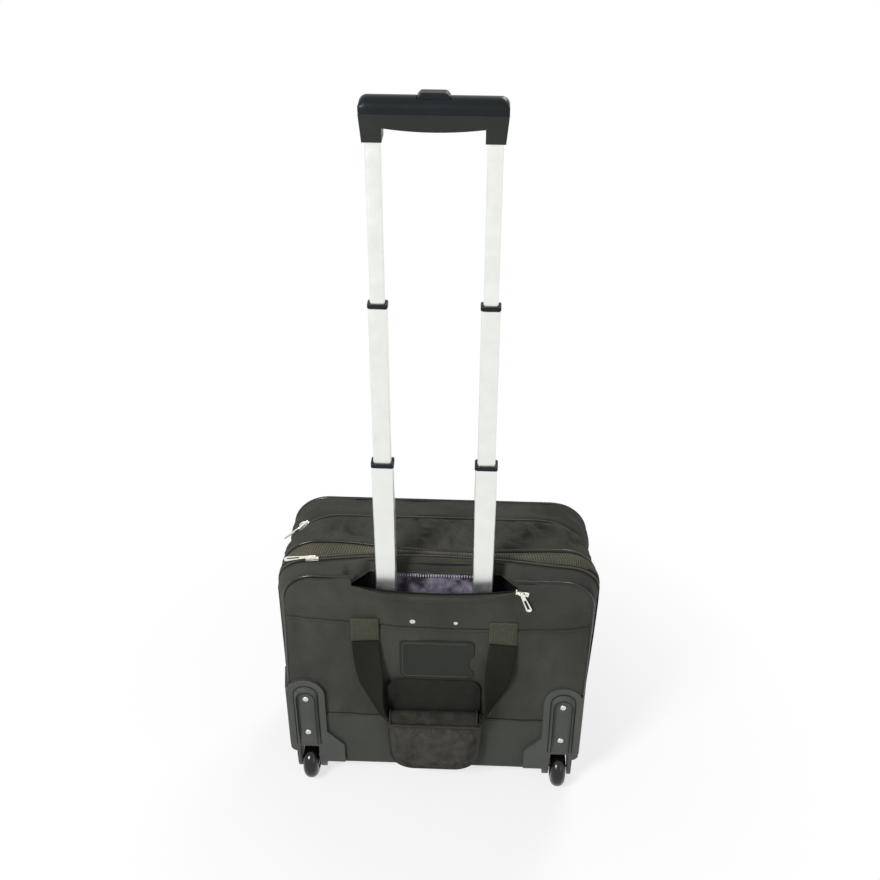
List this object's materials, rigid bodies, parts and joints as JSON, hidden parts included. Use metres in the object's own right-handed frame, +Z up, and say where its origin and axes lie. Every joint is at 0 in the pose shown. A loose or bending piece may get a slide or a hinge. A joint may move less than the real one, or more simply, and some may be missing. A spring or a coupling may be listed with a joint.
{
  "type": "rolling laptop case",
  "caption": "Soft-sided rolling laptop case with a telescoping pull handle, corner wheels, zipped compartments, a folding front lid and a padded carry handle.",
  "frame": {"origin": "bottom centre of the box round the whole case, on the floor that the wheels and front feet stand on", "axes": "+Z up along the pull handle, -Y to the rear side with the trolley handle and wheels, +X to the right when the rear side is looked at"},
  "size_m": [0.4314, 0.23, 1.019],
  "materials": {
    "fabric": "woven nylon, matt",
    "vinyl": "fine-grained vinyl",
    "lining": "satin lining cloth",
    "piping": "covered cord",
    "webbing": "woven webbing",
    "wrap": "padded cloth with bound edges",
    "aluminium": "satin anodised",
    "dark_plastic": "moulded, fine texture",
    "grey_plastic": "moulded, fine texture",
    "housing_plastic": "moulded, satin",
    "rubber": "smooth, glossy",
    "steel": "nickel plated",
    "zip_metal": "bright plated"
  },
  "bodies": {
    "case_base": {"rear_panel": "fabric", "rear_kick_panel": "vinyl", "base_tray": "vinyl", "rear_gusset": "fabric", "trolley_pocket_board": "lining", "rear_piping": "piping", "trolley_base_bracket": "dark_plastic", "trolley_top_bracket": "dark_plastic", "outer_tube_left": "aluminium", "outer_tube_right": "aluminium", "wheel_housing_left": "housing_plastic", "wheel_housing_right": "housing_plastic", "wheel_axle_left": "steel", "wheel_axle_right": "steel", "housing_rivet_upper_left": "steel", "housing_rivet_upper_right": "steel", "housing_rivet_lower_left": "steel", "housing_rivet_lower_right": "steel", "panel_rivet_left": "steel", "panel_rivet_right": "steel", "front_foot_left": "rubber", "front_foot_right": "rubber", "card_holder": "vinyl", "strap_anchor_left": "webbing", "strap_anchor_right": "webbing"},
    "front_half": {"main_gusset": "fabric", "divider_panel": "lining", "middle_piping": "piping"},
    "lid": {"front_lid": "fabric", "front_piping": "piping"},
    "lower_stage": {"lower_tube_left": "aluminium", "lower_tube_right": "aluminium", "lower_collar_left": "dark_plastic", "lower_collar_right": "dark_plastic"},
    "middle_stage": {"middle_tube_left": "aluminium", "middle_tube_right": "aluminium", "middle_collar_left": "dark_plastic", "middle_collar_right": "dark_plastic"},
    "upper_stage": {"upper_tube_left": "aluminium", "upper_tube_right": "aluminium", "guide_plug_left": "dark_plastic", "guide_plug_right": "dark_plastic", "grip_body": "grey_plastic", "grip_cover": "dark_plastic", "button_spring": "steel"},
    "release": {"release_button": "grey_plastic", "release_yoke": "steel"},
    "left_wheel": {"wheel_left": "rubber"},
    "right_wheel": {"wheel_right": "rubber"},
    "carry_handle": {"carry_strap_left": "webbing", "carry_strap_right": "webbing", "carry_handle_wrap": "wrap"},
    "front_handle": {"front_handle_strap": "webbing"},
    "slot_slider": {"slot_zip_slider": "zip_metal"},
    "slot_pull": {"slot_zip_tab": "zip_metal"},
    "rear_slider": {"rear_zip_slider": "zip_metal"},
    "rear_pull": {"rear_zip_tab": "zip_metal"},
    "front_slider": {"front_zip_slider": "zip_metal"},
    "front_pull": {"front_zip_tab": "zip_metal"}
  },
  "joints": [
    {"name": "lower_stage_slide", "type": "slide", "parent": "case_base", "child": "lower_stage", "axis": [0, 0, 1], "range_m": [-0.225, 0]},
    {"name": "middle_stage_slide", "type": "slide", "parent": "lower_stage", "child": "middle_stage", "axis": [0, 0, 1], "range_m": [-0.208, 0]},
    {"name": "upper_stage_slide", "type": "slide", "parent": "middle_stage", "child": "upper_stage", "axis": [0, 0, 1], "range_m": [-0.184, 0]},
    {"name": "release_press", "type": "slide", "parent": "upper_stage", "child": "release", "axis": [0, 0, -1], "range_m": [0, 0.004], "stiffness_N_per_m": 600, "springref_m": -0.003, "deforming": ["button_spring"]},
    {"name": "left_wheel_spin", "type": "hinge", "parent": "case_base", "child": "left_wheel", "pos_m": [-0.181, -0.082, 0.028], "axis": [1, 0, 0], "continuous": true},
    {"name": "right_wheel_spin", "type": "hinge", "parent": "case_base", "child": "right_wheel", "pos_m": [0.181, -0.082, 0.028], "axis": [1, 0, 0], "continuous": true},
    {"name": "front_half_lean", "type": "hinge", "parent": "case_base", "child": "front_half", "pos_m": [0, 0.101, 0.1345], "axis": [-1, 0, 0], "range_deg": [0, 12]},
    {"name": "lid_fold", "type": "hinge", "parent": "front_half", "child": "lid", "pos_m": [0, 0.101, 0.1345], "axis": [-1, 0, 0], "range_deg": [0, 115]},
    {"name": "carry_handle_swing", "type": "hinge", "parent": "case_base", "child": "carry_handle", "pos_m": [0, -0.0966, 0.2776], "axis": [-1, 0, 0], "range_deg": [0, 150]},
    {"name": "front_handle_swing", "type": "hinge", "parent": "lid", "child": "front_handle", "pos_m": [0, 0.1027, 0.3], "axis": [1, 0, 0], "range_deg": [0, 150]},
    {"name": "slot_slider_run", "type": "slide", "parent": "case_base", "child": "slot_slider", "axis": [-0.978, 0, -0.2086], "range_m": [0, 0.06]},
    {"name": "slot_pull_swing", "type": "hinge", "parent": "slot_slider", "child": "slot_pull", "pos_m": [0.1152, -0.0958, 0.3728], "axis": [-1, 0, 0], "range_deg": [0, 170]},
    {"name": "rear_slider_run", "type": "slide", "parent": "case_base", "child": "rear_slider", "axis": [1, 0, 0], "range_m": [0, 0.3]},
    {"name": "rear_pull_swing", "type": "hinge", "parent": "rear_slider", "child": "rear_pull", "pos_m": [-0.1702, -0.0549, 0.3918], "axis": [0, 1, 0], "range_deg": [0, 95]},
    {"name": "front_slider_run", "type": "hinge", "parent": "front_half", "child": "front_slider", "pos_m": [-0.13819, 0.0376, 0.31901], "axis": [0, -1, 0], "range_deg": [-43, 43]},
    {"name": "front_pull_swing", "type": "hinge", "parent": "front_slider", "child": "front_pull", "pos_m": [-0.1954, 0.0376, 0.36604], "axis": [0, 1, 0], "range_deg": [0, 95]}
  ]
}
